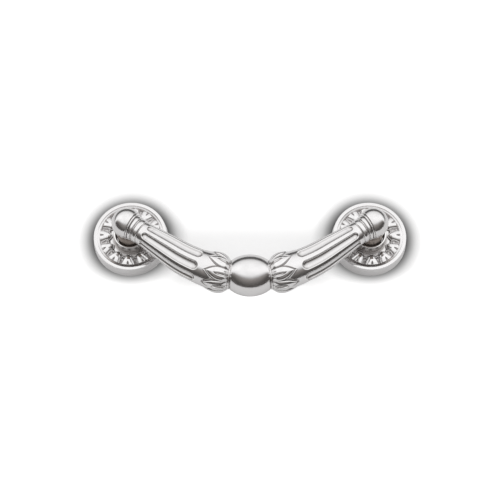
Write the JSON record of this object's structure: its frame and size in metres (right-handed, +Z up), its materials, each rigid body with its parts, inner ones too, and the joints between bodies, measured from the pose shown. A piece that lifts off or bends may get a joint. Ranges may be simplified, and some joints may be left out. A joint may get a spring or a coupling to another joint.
{
  "type": "drop pull",
  "caption": "Drawer pull with a fluted bail that swings from balls on posts, between round leaf rosettes screwed to the drawer front from behind.",
  "frame": {"origin": "midway between the two screw holes, on the plane of the drawer front", "axes": "+X to the right along the drawer front, +Z up, -Y out of the drawer front towards the user"},
  "size_m": [0.1262, 0.0262, 0.0451],
  "materials": {
    "satin_nickel": "satin nickel plate on a casting",
    "pin_steel": "ground steel, finished flush with the ball"
  },
  "bodies": {
    "fixed_mounts": {"left_rosette": "satin_nickel", "right_rosette": "satin_nickel", "left_post": "satin_nickel", "right_post": "satin_nickel"},
    "swinging_bail": {"bail": "satin_nickel", "left_pivot_pin": "pin_steel", "right_pivot_pin": "pin_steel"}
  },
  "joints": [
    {"name": "bail_swing", "type": "hinge", "parent": "fixed_mounts", "child": "swinging_bail", "pos_m": [0, -0.0181, 0], "axis": [-1, 0, 0], "range_deg": [0, 90]}
  ]
}
